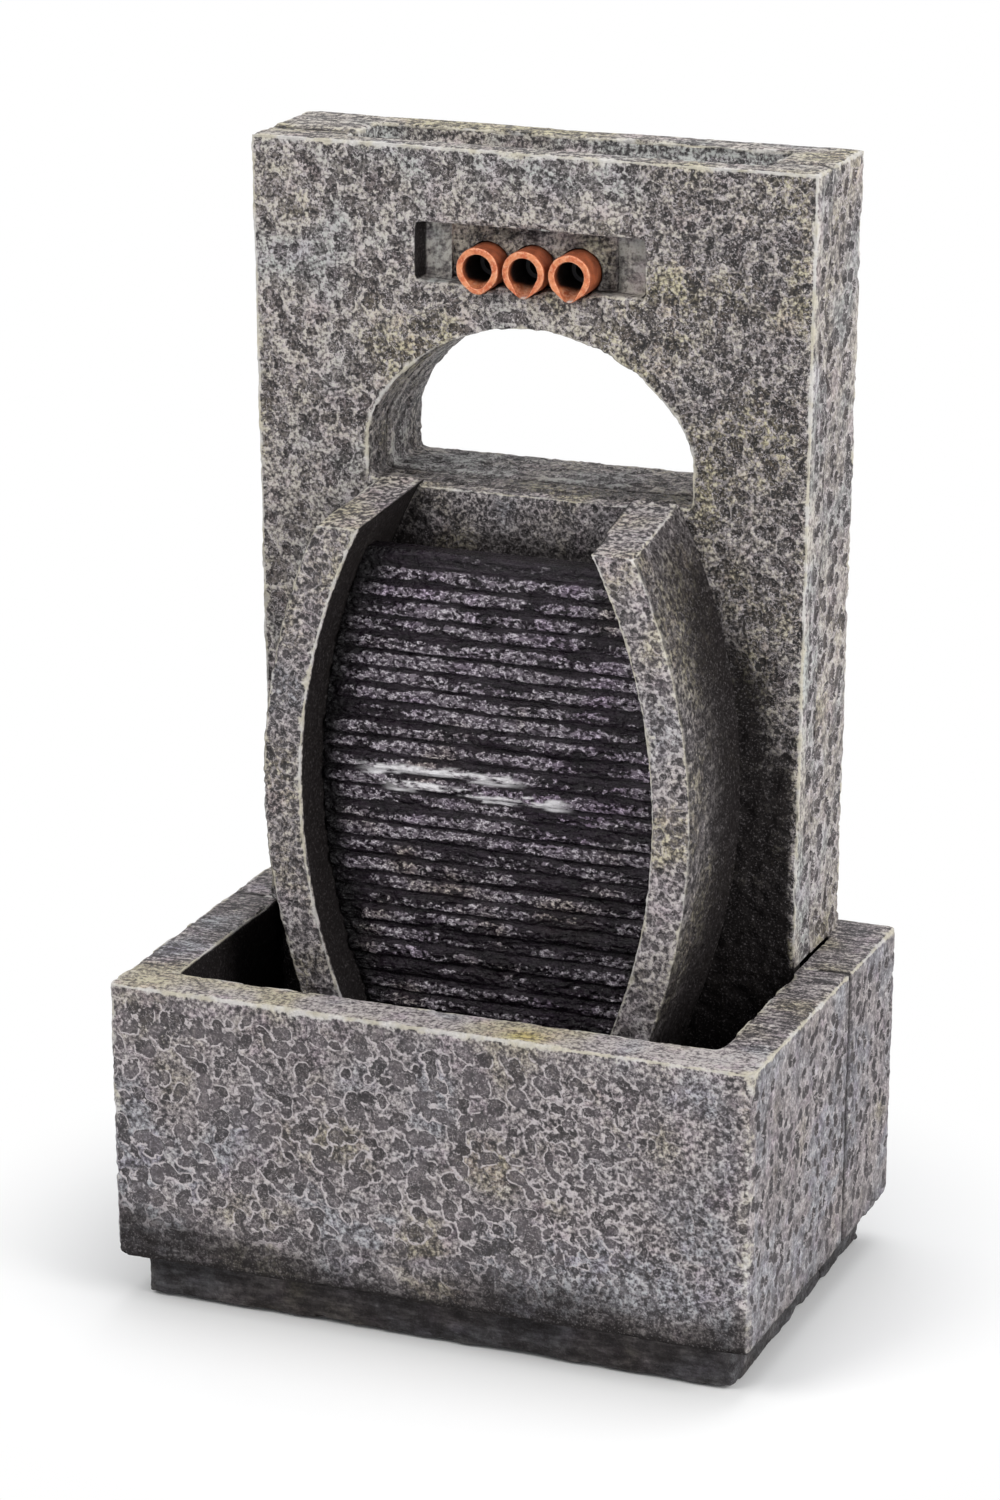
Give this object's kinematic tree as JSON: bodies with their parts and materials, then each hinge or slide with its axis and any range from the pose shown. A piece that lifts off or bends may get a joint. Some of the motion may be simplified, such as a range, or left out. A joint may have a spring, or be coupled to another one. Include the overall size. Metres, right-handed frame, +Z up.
{
  "type": "stone tabletop fountain",
  "caption": "Tabletop fountain: a square stone basin, a tall wall with an arched window, a slate cascade between bowed cheeks, and copper-coloured spouts in a niche.",
  "frame": {"origin": "middle of the underside, on the plane that the fountain stands on", "axes": "+X to the right as seen from the front, +Y to the rear, +Z up"},
  "size_m": [0.25, 0.167, 0.422],
  "materials": {
    "cast_stone": "hammered grey cast stone with dark pits and pale worn ridges",
    "dark_slate": "wet, split, dark slate",
    "mortar": "rough mortar",
    "copper_clay": "matte copper-coloured fired clay",
    "black_rubber": "matte",
    "clear_hose": "clear vinyl",
    "black_plastic": "moulded, fine grain",
    "grey_plastic": "moulded, fine grain",
    "rotor_plastic": "bonded magnet and nylon",
    "steel": "plain",
    "coil_copper": "enamelled winding wire",
    "shaft_ceramic": "ground"
  },
  "bodies": {
    "root": {"basin_front": "cast_stone", "basin_rear": "cast_stone", "tower_front": "cast_stone", "tower_rear": "cast_stone", "cheek_left": "cast_stone", "cheek_right": "cast_stone", "slate_cascade": "dark_slate", "catch_trough": "dark_slate", "niche_mortar": "mortar", "spout_left": "copper_clay", "spout_middle": "copper_clay", "spout_right": "copper_clay", "foot_pads": "black_rubber", "volute_seal": "black_rubber", "cover_grommets": "black_rubber", "suction_cups": "black_rubber", "shaft_bushes": "black_rubber", "cable_gland": "black_rubber", "riser_hose": "clear_hose", "pump_housing": "black_plastic", "pump_end_plate": "black_plastic", "volute_cover": "black_plastic", "spout_manifold": "black_plastic", "hose_clamps": "steel", "stator_core": "steel", "stator_coil": "coil_copper", "impeller_shaft": "shaft_ceramic"},
    "access_cover_body": {"access_cover": "grey_plastic", "cord_grommet": "black_rubber"},
    "impeller": {"impeller_rotor": "rotor_plastic"},
    "strainer": {"strainer_cover": "black_plastic"},
    "dial": {"flow_dial": "grey_plastic"}
  },
  "joints": [
    {"name": "access_cover_slide", "type": "slide", "parent": "root", "child": "access_cover_body", "axis": [0, 1, 0], "range_m": [0, 0.03]},
    {"name": "impeller_spin", "type": "hinge", "parent": "root", "child": "impeller", "pos_m": [-0.032, 0.048, 0.055], "axis": [1, 0, 0], "continuous": true},
    {"name": "strainer_slide", "type": "slide", "parent": "root", "child": "strainer", "axis": [-1, 0, 0], "range_m": [0, 0.012]},
    {"name": "flow_dial_turn", "type": "hinge", "parent": "strainer", "child": "dial", "pos_m": [-0.051, 0.048, 0.055], "axis": [-1, 0, 0], "range_deg": [0, 90]}
  ]
}
